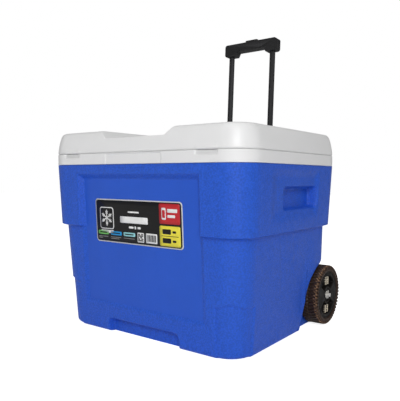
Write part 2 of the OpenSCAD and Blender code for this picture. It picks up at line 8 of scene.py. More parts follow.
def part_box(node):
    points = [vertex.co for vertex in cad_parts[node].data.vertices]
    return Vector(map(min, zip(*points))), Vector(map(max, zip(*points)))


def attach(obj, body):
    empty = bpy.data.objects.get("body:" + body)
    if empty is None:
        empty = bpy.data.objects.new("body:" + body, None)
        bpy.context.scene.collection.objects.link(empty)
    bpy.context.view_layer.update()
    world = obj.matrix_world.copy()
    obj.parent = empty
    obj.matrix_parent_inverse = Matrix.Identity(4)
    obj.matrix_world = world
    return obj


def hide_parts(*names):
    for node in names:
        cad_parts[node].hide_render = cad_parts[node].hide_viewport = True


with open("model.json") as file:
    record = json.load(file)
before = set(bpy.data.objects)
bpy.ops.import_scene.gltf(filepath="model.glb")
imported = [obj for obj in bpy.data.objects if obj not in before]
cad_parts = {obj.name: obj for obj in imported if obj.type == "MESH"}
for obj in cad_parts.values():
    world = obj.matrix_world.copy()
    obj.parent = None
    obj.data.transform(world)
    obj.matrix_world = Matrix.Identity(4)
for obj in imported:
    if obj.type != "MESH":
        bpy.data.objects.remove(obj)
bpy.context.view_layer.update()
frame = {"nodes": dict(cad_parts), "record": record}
print("frame loaded:", len(frame["nodes"]), "nodes")

# every shape below is worked out in millimetres from the front of the collar, y to the rear
collarLow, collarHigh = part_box("body_liner")
frontY = collarLow.y * 1000
halfWide = collarHigh.x * 1000
deep = (collarHigh.y - collarLow.y) * 1000
midY = deep / 2
seamZ = collarHigh.z * 1000


def boxMm(node):
    low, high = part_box(node)
    shift = np.array([0, frontY, 0])
    return np.array(low) * 1000 - shift, np.array(high) * 1000 - shift


# ease from 0 to 1 as t goes from 0 to 1, level at both ends
def ease(t):
    t = np.clip(t, 0, 1)
    return t * t * (3 - 2 * t)


# the larger of two values, blended over a band r wide so that the crease is round
def softMax(a, b, r):
    h = np.clip(0.5 + 0.5 * (b - a) / r, 0, 1)
    return a * (1 - h) + b * h + r * h * (1 - h)


def softMin(a, b, r):
    return -softMax(-a, -b, r)


# joins evenly spaced runs (start, end, count) into one rising list
def stations(*runs):
    return np.unique(np.round(np.concatenate([np.linspace(*run) for run in runs]), 4))


# distance outside a rectangle with rounded corners: negative inside
def outsideOf(u, v, halfU, halfV, r):
    du, dv = np.abs(u) - (halfU - r), np.abs(v) - (halfV - r)
    return np.hypot(np.maximum(du, 0), np.maximum(dv, 0)) + np.minimum(np.maximum(du, dv), 0) - r


# a rows x columns grid of points becomes quads between neighbours; poles are single points that close its two ends
def gridObject(name, points, around=True, startPole=None, endPole=None, flip=False, masks=None):
    rows, cols = points.shape[:2]
    index = np.arange(rows * cols).reshape(rows, cols)
    right = np.roll(index, -1, axis=1) if around else index[:, 1:]
    here = index if around else index[:, :-1]
    quads = np.stack([here[:-1], right[:-1], right[1:], here[1:]], axis=-1).reshape(-1, 4)
    verts = [points.reshape(-1, 3)]
    faces = quads.tolist()
    extra = rows * cols
    for pole, ring, nextRing, turned in ((startPole, here[0], right[0], True), (endPole, here[-1], right[-1], False)):
        if pole is not None:
            verts.append(np.array([pole], float))
            centre = np.full(len(ring), extra)
            tri = np.stack([ring, nextRing, centre] if not turned else [nextRing, ring, centre], axis=-1)
            faces += tri.tolist()
            extra += 1
    co = np.concatenate(verts) + np.array([0, frontY, 0])
    if flip:
        faces = [f[::-1] for f in faces]
    mesh = bpy.data.meshes.new(name)
    mesh.from_pydata((co / 1000).tolist(), [], faces)
    mesh.polygons.foreach_set("use_smooth", np.ones(len(mesh.polygons), bool))
    for mask, values in (masks or {}).items():
        layer = mesh.attributes.new(mask, "FLOAT", "POINT")
        full = np.concatenate([values.ravel(), np.zeros(len(co) - rows * cols)])
        layer.data.foreach_set("value", full.astype(np.float32))
    obj = bpy.data.objects.new(name, mesh)
    bpy.context.scene.collection.objects.link(obj)
    return obj


def weld(obj, distance=0.00005):
    import bmesh
    bm = bmesh.new()
    bm.from_mesh(obj.data)
    bmesh.ops.remove_doubles(bm, verts=bm.verts, dist=distance)
    bmesh.ops.dissolve_degenerate(bm, edges=bm.edges, dist=1e-7)
    bm.to_mesh(obj.data)
    bm.free()
    obj.data.update()
    return obj


def joinObjects(name, parts):
    bpy.ops.object.select_all(action="DESELECT")
    for part in parts:
        part.select_set(True)
    bpy.context.view_layer.objects.active = parts[0]
    bpy.ops.object.join()
    parts[0].name = name
    parts[0].data.name = name
    return parts[0]


def finishPiece(obj, body, material, slotName, *nodes):
    obj.data.materials.clear()
    obj.data.materials.append(material)
    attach(obj, body)
    if nodes:
        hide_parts(*nodes)
    return obj


# materials

def srgb(r, g, b):
    def linear(c):
        c /= 255
        return c / 12.92 if c <= 0.04045 else ((c + 0.055) / 1.055) ** 2.4
    return (linear(r), linear(g), linear(b), 1)


# a moulded or metal finish: colour drift, lighter edges that are partly edge wear and partly painted edge highlight,
# roughness drift, and one or two sizes of grain as bump
def finish(name, look):
    mat = bpy.data.materials.new(name)
    mat.use_nodes = True
    nodes, links = mat.node_tree.nodes, mat.node_tree.links
    shader = nodes["Principled BSDF"]
    coords = nodes.new("ShaderNodeTexCoord")

    def noise(size, detail, stretch=None):
        tex = nodes.new("ShaderNodeTexNoise")
        tex.inputs["Scale"].default_value = 1000 / size
        tex.inputs["Detail"].default_value = detail
        source = coords.outputs["Object"]
        if stretch:
            mapping = nodes.new("ShaderNodeMapping")
            mapping.inputs["Scale"].default_value = stretch
            links.new(source, mapping.inputs["Vector"])
            source = mapping.outputs["Vector"]
        links.new(source, tex.inputs["Vector"])
        return tex.outputs["Fac"]

    def spread(value, low, high, fromLow=0.3, fromHigh=0.7):
        node = nodes.new("ShaderNodeMapRange")
        links.new(value, node.inputs["Value"])
        for key, number in (("From Min", fromLow), ("From Max", fromHigh), ("To Min", low), ("To Max", high)):
            node.inputs[key].default_value = number
        return node.outputs["Result"]

    def blend(factor, a, b):
        node = nodes.new("ShaderNodeMix")
        node.data_type = "RGBA"
        links.new(factor, node.inputs["Factor"])
        for slotIndex, colour in ((6, a), (7, b)):
            if isinstance(colour, tuple):
                node.inputs[slotIndex].default_value = colour
            else:
                links.new(colour, node.inputs[slotIndex])
        return node.outputs[2]

    base = look["colour"]
    drift = look.get("drift", 0.06)
    darker = tuple(c * (1 - drift) for c in base[:3]) + (1,)
    lighter = tuple(min(1, c * (1 + drift)) for c in base[:3]) + (1,)
    colour = blend(spread(noise(look.get("driftSize", 60), 3), 0, 1), darker, lighter)
    if "fleck" in look:
        colour = blend(spread(noise(look.get("fleckSize", 3), 4), 0, 1, 0.52, 0.68), colour, look["fleck"])
    # convex edges get a lighter colour: partly edge wear, partly painted edge highlight
    if "edge" in look:
        geometry = nodes.new("ShaderNodeNewGeometry")
        wear_and_glint = spread(geometry.outputs["Pointiness"], 0, look.get("edgeAmount", 0.6), 0.515, 0.6)
        colour = blend(wear_and_glint, colour, look["edge"])
    if "mark" in look:                                # a lighter colour where the piece's own mask says: painted glints on the tread, painted highlights on the hub ribs
        where, markColour = look["mark"]
        markMask = nodes.new("ShaderNodeAttribute")
        markMask.attribute_name = where
        colour = blend(markMask.outputs["Fac"], colour, markColour)
    if "speckle" in look:                             # fine dots of light and shade where the grain is
        dotSize, dotAmount = look["speckle"]
        light = tuple(min(1, c * (1 + dotAmount)) for c in base[:3]) + (1,)
        dark = tuple(c * (1 - dotAmount) for c in base[:3]) + (1,)
        dots = blend(spread(noise(dotSize, 2), 0, 1, 0.38, 0.62), dark, light)
        grained = nodes.new("ShaderNodeAttribute")
        grained.attribute_name = look["grainMask"]
        colour = blend(spread(grained.outputs["Fac"], 0.12, 0.85, 0, 1), colour, dots)
    links.new(colour, shader.inputs["Base Color"])
    rough = look.get("rough", 0.45)
    vary = look.get("roughSpread", 0.06)
    roughNoise = noise(look.get("roughSize", 14), 4, look.get("stretch"))
    links.new(spread(roughNoise, max(0.02, rough - vary), min(1, rough + vary)), shader.inputs["Roughness"])
    shader.inputs["Metallic"].default_value = look.get("metal", 0)
    shader.inputs["IOR"].default_value = 1.5
    shader.inputs["Specular IOR Level"].default_value = look.get("specular", 0.5)
    height = None
    for size, depth in look.get("grain", ()):
        bump = nodes.new("ShaderNodeBump")
        bump.inputs["Distance"].default_value = depth / 1000
        bump.inputs["Strength"].default_value = 1
        if look.get("pebble"):
            cells = nodes.new("ShaderNodeTexVoronoi")
            cells.feature = "SMOOTH_F1"
            cells.inputs["Scale"].default_value = 1000 / size
            links.new(coords.outputs["Object"], cells.inputs["Vector"])
            field = cells.outputs["Distance"]
        else:
            field = noise(size, 3, look.get("stretch"))
        links.new(field, bump.inputs["Height"])
        if look.get("grainMask"):
            mask = nodes.new("ShaderNodeAttribute")
            mask.attribute_name = look["grainMask"]
            links.new(mask.outputs["Fac"], bump.inputs["Strength"])
        if height:
            links.new(height, bump.inputs["Normal"])
        height = bump.outputs["Normal"]
    if height:
        links.new(height, shader.inputs["Normal"])
    return mat


finishes = {
    "bluePebble": {"colour": srgb(37, 89, 202), "drift": 0.04, "driftSize": 90, "rough": 0.42,
                   "roughSpread": 0.07, "specular": 0.3, "grain": ((3.4, 0.6), (1.6, 0.3)),
                   "speckle": (3.4, 0.16), "pebble": True, "grainMask": "grain", "edge": srgb(95, 135, 235),
                   "edgeAmount": 0.35},
    "whiteShell": {"colour": srgb(236, 236, 236), "drift": 0.015, "driftSize": 120, "rough": 0.38,
                   "roughSpread": 0.06, "grain": ((0.9, 0.03),), "edge": srgb(246, 246, 246),
                   "edgeAmount": 0.3},
    "whiteFitting": {"colour": srgb(226, 226, 224), "drift": 0.02, "driftSize": 30, "rough": 0.4,
                     "roughSpread": 0.06, "grain": ((0.7, 0.03),), "edge": srgb(242, 242, 240)},
    "frameBlack": {"colour": srgb(24, 24, 25), "specular": 0.35, "drift": 0.12, "driftSize": 20,
                   "rough": 0.5, "roughSpread": 0.08, "grain": ((0.8, 0.05),), "edge": srgb(70, 70, 72)},
    "gripBlack": {"colour": srgb(25, 25, 26), "specular": 0.3, "drift": 0.12, "driftSize": 14,
                  "rough": 0.55, "roughSpread": 0.1, "grain": ((0.6, 0.06),), "edge": srgb(66, 66, 68)},
    "tubeBlack": {"colour": srgb(20, 20, 21), "specular": 0.12, "drift": 0.1, "driftSize": 30, "rough": 0.5,
                  "roughSpread": 0.08, "grain": ((0.5, 0.015),), "edge": srgb(92, 92, 94), "edgeAmount": 0.4},
    "zincSteel": {"colour": srgb(226, 224, 218), "drift": 0.08, "driftSize": 6, "metal": 0.65, "rough": 0.3,
                  "roughSpread": 0.1, "roughSize": 2, "stretch": (1, 8, 8), "grain": ((0.4, 0.01),)},
    # the tread's tan mark colour is a painted glint on the shoulder lugs; its tan edge colour is partly wear and
    # partly painted edge highlight
    "treadBlack": {"colour": srgb(34, 20, 14), "specular": 0.3, "mark": ("wear_and_glint", srgb(196, 152, 112)),
                   "drift": 0.25, "driftSize": 12, "rough": 0.5, "roughSpread": 0.14,
                   "grain": ((1.2, 0.08),), "edge": srgb(112, 78, 54), "edgeAmount": 0.75,
                   "fleck": srgb(58, 42, 32), "fleckSize": 5},
    # the hub's cream mark colour is a painted highlight on the rib tops
    "hubBlack": {"colour": srgb(15, 13, 12), "specular": 0.15, "drift": 0.2, "driftSize": 10, "rough": 0.5,
                 "roughSpread": 0.1, "grain": ((0.8, 0.05),), "edge": srgb(80, 72, 66), "edgeAmount": 0.6,
                 "mark": ("bright", srgb(238, 226, 202))},
    "rubberBlack": {"colour": srgb(28, 28, 29), "drift": 0.15, "driftSize": 8, "rough": 0.75,
                    "roughSpread": 0.1, "grain": ((0.7, 0.06),)},
    "labelBlack": {"colour": srgb(20, 19, 19), "specular": 0.25, "drift": 0.05, "driftSize": 50,
                   "rough": 0.4, "roughSpread": 0.05, "grain": ((1.5, 0.01),)},
}
materials = {name: finish(name, look) for name, look in finishes.items()}
print("finishes made:", len(materials))

# body skin

body = {
    "cornerTop": 60, "cornerBase": 54,            # outline corner radius at the collar and at the ground
    "bandBottom": 253, "bandDraft": 2.6, "bandStep": 10, "stepHeight": 5, "lowerDraft": 3.6,
    "baseRound": 9,
    "panelHalf": 173, "panelTop": 366, "panelBottom": 73, "panelDepth": 15, "panelLean": 3.3,
    "bevelSide": 11, "bevelTop": 14, "bevelFoot": 7,
    "notchHalf": 106.5, "notchTop": 32, "notchBack": 49, "notchSlope": 3.2, "notchRound": 13,
    "pocketSlope": 4.5, "seamBetween": 240, "plainLip": 165,
    "reliefStart": 204, "reliefEnd": 85, "reliefTop": 108, "reliefRise": 8, "reliefDepth": 3.5,
    "pocketY": 253, "pocketZ": 326, "pocketHalfY": 81, "pocketHalfZ": 24.5, "pocketDepth": 26, "pocketRound": 9,
    "dishFront": 104, "dishRear": 330, "dishLow": 284, "dishTop": 386, "dishDepth": 5.5,
    "flareFrom": 300, "flareRun": 60,
    "ledgeHalf": 84, "ledgeZ": 391.5, "ledgeDepth": 1.4,
    "ribLines": ((172, 192), (235, 245)), "ribTops": (247, 242), "ribBottoms": (108, 179), "ribDepth": 0.9,
    "archRound": 81.3, "archLean": 13, "archRise": 24, "lip": 4.5, "lipFade": 26, "archIn": 241.7,
    "innerInset": 33, "innerTaper": 24, "innerFloor": 30,
}
shellHigh = boxMm("body_shell")[1]
tyreLow, tyreHigh = boxMm("wheel_tyre_right")
axleY, axleZ = (tyreLow[1] + tyreHigh[1]) / 2, (tyreLow[2] + tyreHigh[2]) / 2
bodyTop = shellHigh[2]


# inset of the outer body at height z: two drafts, a rounded step between them, and a rounded foot
def bodyInset(z):
    b = body
    upper = (bodyTop - z) * math.tan(math.radians(b["bandDraft"]))
    extra = np.maximum(b["bandBottom"] - z, 0) * (
        math.tan(math.radians(b["lowerDraft"])) - math.tan(math.radians(b["bandDraft"])))
    step = b["bandStep"] * ease((b["bandBottom"] + 1 - z) / b["stepHeight"])
    foot = np.clip(b["baseRound"] - z, 0, b["baseRound"])
    return upper + extra + step + b["baseRound"] - np.sqrt(np.maximum(b["baseRound"] ** 2 - foot ** 2, 0))


def cornerRadius(z):
    return body["cornerBase"] + (body["cornerTop"] - body["cornerBase"]) * z / bodyTop


# height of the wheel opening's edge at depth y: a leaning line, a round over the wheel, and a rising roof
def archEdge(y):
    r, lean, rise = body["archRound"], math.radians(body["archLean"]), math.radians(body["archRise"])
    y1, z1 = axleY - r * math.cos(lean), axleZ + r * math.sin(lean)
    y2, z2 = axleY - r * math.sin(rise), axleZ + r * math.cos(rise)
    front = z1 + (y - y1) / math.tan(lean)
    roundPart = axleZ + np.sqrt(np.maximum(r * r - (y - axleY) ** 2, 0))
    roof = z2 + (y - y2) * math.tan(rise)
    return np.where(y < y1, front, np.where(y < y2, roundPart, roof))


archFoot = axleY - body["archRound"] * math.cos(math.radians(body["archLean"])) - (
    axleZ + body["archRound"] * math.sin(math.radians(body["archLean"]))) * math.tan(math.radians(body["archLean"]))

# columns of the right half, each as (stretch of the outline, value along it)
frontX = stations((0, 96, 13), (98, 118, 15), (122, 168, 9), (170, 200, 21), (202, 208, 5), (210, 232.5, 6))
arcA = np.linspace(0, 90, 25)[1:]
endY = stations((60, 84, 9), (84, 116, 6), (117, 132, 10), (136, 166, 6), (168, 186, 15), (190, 232, 12),
                (233, 246, 8), (250, 300, 12), (302, 348, 32), (351, 402, 14))[1:]
arcB = np.linspace(0, 1, 19)[1:]
arcC = np.linspace(0, 1, 10)[1:]
rearX = np.linspace(232.5, 0, 16)[1:]
columns = np.concatenate([np.stack([np.full(len(v), k), v], 1) for k, v in
                          enumerate((frontX, arcA, endY, arcB, arcC, rearX))])
kind, along = columns[:, 0][None], columns[:, 1][None]
archColumn = ((kind == 2) & (along > archFoot)) | (kind == 3)


# outline point for each column at height z, with its outward direction
def outlineAt(z, extraInset=0):
    inset = bodyInset(z) + extraInset
    r = cornerRadius(z)
    hx, y0, y1 = halfWide - inset, inset, deep - inset
    cx = hx - r
    exactX, exactLow, exactHigh = 200, 120, 350
    spread = exactX + (along - exactX) * (cx - exactX) / (halfWide - body["cornerTop"] - exactX)
    xs = np.where(along > exactX, spread, along)
    sy, ey = y0 + r, y1 - r
    lowY = exactLow - (exactLow - along) * (exactLow - sy) / (exactLow - body["cornerTop"])
    highY = exactHigh + (along - exactHigh) * (ey - exactHigh) / (deep - body["cornerTop"] - exactHigh)
    ys = np.where(along < exactLow, lowY, np.where(along > exactHigh, highY, along))
    cut = np.arccos(np.clip((body["archIn"] - cx) / r, -1, 1))
    angle = np.select([kind == 1, kind == 3, kind == 4],
                      [np.radians(along), along * cut, cut + along * (math.pi / 2 - cut)], 0)
    sinA, cosA = np.sin(angle), np.cos(angle)
    x = np.select([kind == 0, kind == 1, kind == 2, kind == 3, kind == 4],
                  [xs, cx + r * sinA, hx + 0 * along, cx + r * cosA, cx + r * cosA],
                  along * cx / (halfWide - body["cornerTop"]))
    y = np.select([kind == 0, kind == 1, kind == 2, kind == 3, kind == 4],
                  [y0 + 0 * along, y0 + r - r * cosA, ys, ey + r * sinA, ey + r * sinA], y1 + 0 * along)
    nx = np.select([kind == 1, kind == 2, kind == 3, kind == 4], [sinA, 1, cosA, cosA], 0.0)
    ny = np.select([kind == 0, kind == 1, kind == 3, kind == 4, kind == 5], [-1, -cosA, sinA, sinA, 1], 0.0)
    return x, y, nx, ny


# presses the front panel, notch, corner reliefs, end dishes and pockets into the outline
def pressIn(x, y, z, nx, ny):
    b = body
    front = y < midY
    tanLean = math.tan(math.radians(b["panelLean"]))
    panelY = b["panelDepth"] + (b["panelTop"] - z) * tanLean
    outside = softMax((np.abs(x) - b["panelHalf"]) / b["bevelSide"], softMax(
        (z - b["panelTop"]) / b["bevelTop"], (b["panelBottom"] - z) / b["bevelFoot"], 0.1), 0.1)
    slope = 0.35 * ease(outside) + 0.65 * np.clip(outside, 0, 1)
    y = np.where(front & (ny < 0), np.maximum(y, panelY * (1 - slope) + y * slope), y)
    grain = np.where(front & (ny < -0.9), ease((outside + 0.1) / 0.3), 1.0)
    notch = outsideOf(x, z, b["notchHalf"], b["notchTop"], b["notchRound"]) + 3
    y = np.where(front & (ny < -0.9), softMax(y, b["notchBack"] - b["notchSlope"] * np.maximum(notch, 0), 3), y)
    ledge = ease((z - b["ledgeZ"]) / 1.5) * ease((b["ledgeHalf"] + 1 - np.abs(x)) / 2)
    y = np.where(front & (ny < -0.9), y + b["ledgeDepth"] * ledge, y)
    crown = b["reliefTop"] + b["reliefRise"] * np.sin(np.pi * np.clip(nx, 0, 1)) ** 2
    relief = (ease((x - b["reliefStart"] + 2) / 4) * ease((b["reliefEnd"] + 2 - y) / 5)
              * ease((crown + 1.5 - z) / 3.5) * b["reliefDepth"])
    x, y = x - nx * relief, y - ny * relief
    flare = (ease((y - b["flareFrom"]) / b["flareRun"]) * np.maximum(b["bandBottom"] - np.maximum(z, axleZ), 0)
             * math.tan(math.radians(b["lowerDraft"])) * ease((nx - 0.2) / 0.4))
    x = x + flare * nx
    onEnd = nx > 0.7
    dish = (ease((y - b["dishFront"]) / 34) * ease((b["dishRear"] + 14 - y) / 22) * ease((z - b["dishLow"] + 9) / 26)
            * ease((b["dishTop"] + 6 - z) / 22) * b["dishDepth"])
    for (topY, bottomY), topZ, bottomZ in zip(b["ribLines"], b["ribTops"], b["ribBottoms"]):
        lineY = bottomY + (topY - bottomY) * (z - bottomZ) / (topZ - bottomZ)
        dish = dish + b["ribDepth"] * ease((y - lineY) / 5) * ease((lineY + 30 - y) / 26) * ease(
            (z - bottomZ + 8) / 12) * ease((topZ + 2 - z) / 4)
    x = np.where(onEnd, x - dish, x)
    pocket = outsideOf(y - b["pocketY"], z - b["pocketZ"], b["pocketHalfY"], b["pocketHalfZ"], b["pocketRound"]) + 3
    flatX = halfWide - (bodyTop - b["pocketZ"]) * math.tan(math.radians(b["bandDraft"])) - b["pocketDepth"]
    x = np.where(onEnd, softMin(x, flatX + b["pocketSlope"] * np.maximum(pocket, 0), 3), x)
    return x, y, grain


def bodySkin():
    b = body
    # where each column meets the wheel opening, found by repeated substitution
    z = np.full(along.shape, 170.0)
    for _ in range(12):
        z = np.where(archColumn, archEdge(outlineAt(z)[1]), 170.0)
    edgeZ = z
    edgeY = outlineAt(edgeZ)[1]
    around = np.clip(np.arctan2(edgeZ - axleZ, edgeY - axleY), math.pi / 2 + math.radians(b["archRise"]),
                     math.pi - math.radians(b["archLean"]))
    my, mz = np.cos(around) * b["lip"], np.sin(around) * b["lip"]
    my = my * (kind == 2)
    lastEdge = edgeZ[0, np.where(kind[0] == 3)[0][-1]]
    before = (kind == 2) & ~archColumn
    fade = ease((along - archFoot) / b["lipFade"] + 1)
    meetZ = np.where(archColumn, edgeZ + mz, np.where(before, b["plainLip"] * (1 - fade) + 1.2 * fade, b["plainLip"]))
    meetZ = np.where(kind >= 4, lastEdge + b["lip"], meetZ)
    shiftY = np.where(archColumn, my, np.where(before, -b["lip"] * math.cos(math.radians(b["archLean"])) * fade, 0))
    rows, masks = [], []

    def addRow(x, y, z, grain=None):
        rows.append(np.stack(np.broadcast_arrays(x, y, z), -1)[0])
        masks.append(np.ones(x.shape[1]) if grain is None else np.broadcast_to(grain, x.shape)[0])

    def skinRow(z, yShift=0):
        z = np.broadcast_to(z, along.shape)
        x, y, nx, ny = outlineAt(z)
        x, y, grain = pressIn(x, y + yShift, z, nx, ny)
        addRow(x, y, z, grain)
        return x, y

    # hidden inner wall and rim, then the outside from the top down
    flat = np.zeros(along.shape)
    for z, inset in ((b["innerFloor"], b["innerInset"] + b["innerTaper"] + 14),
                     (60, b["innerInset"] + b["innerTaper"] - 1), (bodyTop - 1.5, b["innerInset"])):
        x, y, nx, ny = outlineAt(np.full(along.shape, bodyTop), inset)
        addRow(np.minimum(x, b["archIn"] - 3) if z < 200 else x, y, flat + z)
    x, y, nx, ny = outlineAt(flat + bodyTop, 2)
    addRow(x, y, flat + bodyTop - 0.3)
    levels = stations((bodyTop - 0.2, 388, 12), (388, 362, 14), (362, 346, 8), (346, 318, 9), (318, 292, 13),
                      (290, 262, 9), (260, 244, 18), (243, b["seamBetween"], 2))[::-1]
    for z in levels:
        skinRow(z)
    for t in np.linspace(0, 1, 21)[1:]:
        skinRow(b["seamBetween"] + (meetZ - b["seamBetween"]) * t, shiftY * t)
    lastX = rows[-1][None, :, 0]
    for a in np.radians(np.linspace(0, 90, 7)[1:]):    # quarter round of the lip
        left = 1 - math.sin(a)
        xLip = np.maximum(lastX - b["lip"] * (1 - math.cos(a)), b["archIn"])
        zPlain = meetZ - np.minimum(b["lip"], meetZ * 0.3) * a / (math.pi / 2)
        xPlain, yPlain, nx, ny = outlineAt(zPlain)
        xPlain, yPlain, grain = pressIn(xPlain, yPlain + shiftY * ~archColumn, zPlain, nx, ny)
        addRow(np.where(archColumn, xLip, xPlain), np.where(archColumn, edgeY + my * left, yPlain),
               np.where(archColumn, edgeZ + mz * left, zPlain), grain)
    base = rows[-1]
    for t in (0.2, 0.45, 0.7, 1):                         # across the opening to its inner wall
        x = base[:, 0] + (b["archIn"] - base[:, 0]) * t
        zPlain = base[None, :, 2] - 0.4 * t
        xPlain, yPlain, nx, ny = outlineAt(zPlain)
        xPlain, yPlain, grain = pressIn(xPlain, yPlain + shiftY * ~archColumn, zPlain, nx, ny)
        addRow(np.where(archColumn, x, xPlain), np.where(archColumn, base[None, :, 1], yPlain),
               np.where(archColumn, base[None, :, 2], zPlain), grain)
    startZ = rows[-1][None, :, 2]
    lower = stations((160, 120, 7), (118, 102, 11), (98, 82, 4), (79, 66, 11), (62, 40, 5), (38, 14, 15),
                     (12, 9, 2), (7.2, 5.2, 2), (3.8, 2.6, 2), (1.6, 0.8, 2), (0.25, 0, 2))[::-1]
    edgeColumn = np.where(kind[0] == 3)[0][-1]
    for z in lower:
        zc = np.where(kind < 2, z, startZ * z / 160)
        x, y, nx, ny = outlineAt(zc)
        x, y, grain = pressIn(x, y + shiftY * ~archColumn, zc, nx, ny)
        scale = (y[0, edgeColumn + 1] - archFoot) / (edgeY[0, edgeColumn] - archFoot)
        yArch = archFoot + (edgeY - archFoot) * scale
        addRow(np.where(archColumn, b["archIn"], x), np.where(archColumn, yArch, y), zc, grain)
    last = rows[-1]
    for share in (0.93, 0.7, 0.35):
        rows.append(np.stack([last[:, 0] * share, midY + (last[:, 1] - midY) * share, last[:, 2] * share], -1))
        masks.append(np.ones(len(last)))
    half = np.stack(rows)
    mask = np.stack(masks)
    mirrored = half[:, -2:0:-1] * np.array([-1, 1, 1])
    points = np.concatenate([half, mirrored], axis=1)
    grain = np.concatenate([mask, mask[:, -2:0:-1]], axis=1)
    obj = gridObject("blue_body", points, startPole=(0, midY, b["innerFloor"] - 2), endPole=(0, midY, 0),
                     masks={"grain": grain}, flip=True)
    return weld(obj)


skin = bodySkin()
finishPiece(skin, "cooler_body", materials["bluePebble"], "blue_shell", "body_shell", "foam_core")
print("body skin:", len(skin.data.polygons), "faces")

# collar and tub

tub = {
    "collarRound": 1.4, "panelHalf": 84, "panelDepth": 2, "panelTop": 423.5,
    "scoopFrom": 175, "scoopTo": 227, "scoopLow": 414.5, "scoopRise": 5, "scoopDepth": 4.6,
    "rimInset": 39.5, "floorInset": 68.5, "floorZ": 48, "tubCorner": 33, "floorRound": 14,
    "outsideInset": 37, "outsideTaper": 29, "outsideCorner": 34, "wall": 2.5,
}


# half outline with chosen columns: straight stretches spread between the corners, corners as true arcs
def halfRing(inset, r, cols, exact=120):
    k, v = cols[:, 0], cols[:, 1]
    hx, hy = halfWide - inset, midY - inset
    cx, cy = hx - r, hy - r
    full = halfWide - 60
    xs = np.where(v > exact, exact + (v - exact) * (cx - exact) / (full - exact), v) if cx > exact else v * cx / full
    a = np.radians(v)
    x = np.select([k == 0, k == 1, k == 2, k == 3], [xs, cx + r * np.sin(a), hx + 0 * v, cx + r * np.cos(a)], xs)
    y = np.select([k == 0, k == 1, k == 2, k == 3],
                  [-hy + 0 * v, -cy - r * np.cos(a), v * cy, cy + r * np.sin(a)], hy + 0 * v)
    nx = np.select([k == 1, k == 2, k == 3], [np.sin(a), 1, np.cos(a)], 0.0)
    ny = np.select([k == 0, k == 1, k == 3, k == 4], [-1, -np.cos(a), np.sin(a), 1], 0.0)
    return x, midY + y, nx, ny


def ringColumns(xs, arcSteps, ends):
    arc = np.linspace(0, 90, arcSteps + 1)[1:]
    parts = (xs, arc, ends[1:], arc, xs[::-1][1:])
    return np.concatenate([np.stack([np.full(len(v), i), v], 1) for i, v in enumerate(parts)])


def mirroredRows(rows):
    half = np.stack(rows)
    return np.concatenate([half, half[:, -2:0:-1] * np.array([-1, 1, 1])], axis=1)


def collarAndTub():
    t = tub
    cols = ringColumns(stations((0, 80, 9), (81, 88, 8), (95, 170, 9), (172, 180, 9), (184, 218, 9), (221, 229, 9),
                                (230, 232.5, 2)), 14, np.linspace(-1, 1, 30))
    rows = []

    def ring(z, inset, r):
        x, y, nx, ny = halfRing(inset, r, cols)
        rows.append(np.stack([x, y, z + 0 * x], -1))

    def collarRing(z, inset):
        x, y, nx, ny = halfRing(inset, 60 - inset, cols)
        front = ny < -0.95
        panel = t["panelDepth"] * ease((t["panelHalf"] + 2 - np.abs(x)) / 3.5) * ease((t["panelTop"] - z) / 2 + 0.5)
        scoop = (t["scoopDepth"] * ease((x - t["scoopFrom"] + 3) / 6) * ease((t["scoopTo"] + 3 - x) / 6)
                 * ease((z - t["scoopLow"]) / t["scoopRise"]))
        rows.append(np.stack([x, y + np.where(front, panel + scoop, 0), z + 0 * x], -1))

    for z, inset in ((t["floorZ"] - t["wall"], t["outsideInset"] + t["outsideTaper"] + 5),
                     (t["floorZ"] - t["wall"] + 3, t["outsideInset"] + t["outsideTaper"]),
                     (seamZ - t["wall"] - 1, t["outsideInset"])):
        ring(z, inset, t["outsideCorner"])
    for z in (seamZ - t["wall"], bodyTop + 0.4):
        ring(z, 3, 57)
    round_ = t["collarRound"]
    for a in np.radians([0, 30, 60, 90]):
        collarRing(bodyTop + 0.4 + round_ * (1 - math.cos(a)), round_ * (1 - math.sin(a)))
    for z in stations((bodyTop + 2.6, 412, 5), (414, 420, 9), (421.5, 424.4, 6)):
        collarRing(z, 0)
    for a in np.radians([20, 45, 70, 90]):
        collarRing(seamZ - round_ * (1 - math.sin(a)), round_ * (1 - math.cos(a)))
    ring(seamZ, 6, 54)
    ring(seamZ, t["rimInset"] - 3, t["tubCorner"] + 2)
    for a in np.radians([30, 60, 90]):
        ring(seamZ - 3 + 3 * math.cos(a), t["rimInset"] - 3 + 3 * math.sin(a), t["tubCorner"])
    for share in np.linspace(0, 1, 14)[1:-1]:
        z = seamZ - 3 + (t["floorZ"] + t["floorRound"] - seamZ + 3) * share
        ring(z, t["rimInset"] + (t["floorInset"] - t["rimInset"]) * share, t["tubCorner"] - 2)
    for a in np.radians(np.linspace(0, 90, 8)):
        ring(t["floorZ"] + t["floorRound"] * (1 - math.sin(a)),
             t["floorInset"] + t["floorRound"] * (1 - math.cos(a)), t["tubCorner"] - 3)
    for inset in (110, 160, 205):
        ring(t["floorZ"] - 0.2, inset, 22)
    obj = gridObject("collar_and_tub", mirroredRows(rows), startPole=(0, midY, t["floorZ"] - t["wall"]),
                     endPole=(0, midY, t["floorZ"] - 0.3))
    return weld(obj)


finishPiece(collarAndTub(), "cooler_body", materials["whiteShell"], "white_shell", "body_liner")
print("collar and tub made")

# lid

lid = {
    "steps": ((0, 2.4), (1.3, 2), (2.2, 0.2), (4.4, 0.2), (16, 1.7), (27, 3.6), (38, 6.4), (45, 9), (49, 11.8),
              (51.6, 16), (52.5, 20.5), (52.6, 27)),
    "channelHalf": 89.5, "channelFloor": 19, "channelRun": 1.1, "channelSoft": 2.2,
    "bulgeFrom": 175, "bulgeTo": 227, "bulgeOut": 2.2, "bulgeHigh": 9,
    "plugInset": 43.5, "plugDeep": 12, "plugRound": 3, "plugCorner": 28.5, "panDeep": 2.5, "cornerShare": 0.9,
}
lidLow, lidHigh = boxMm("lid_shell")


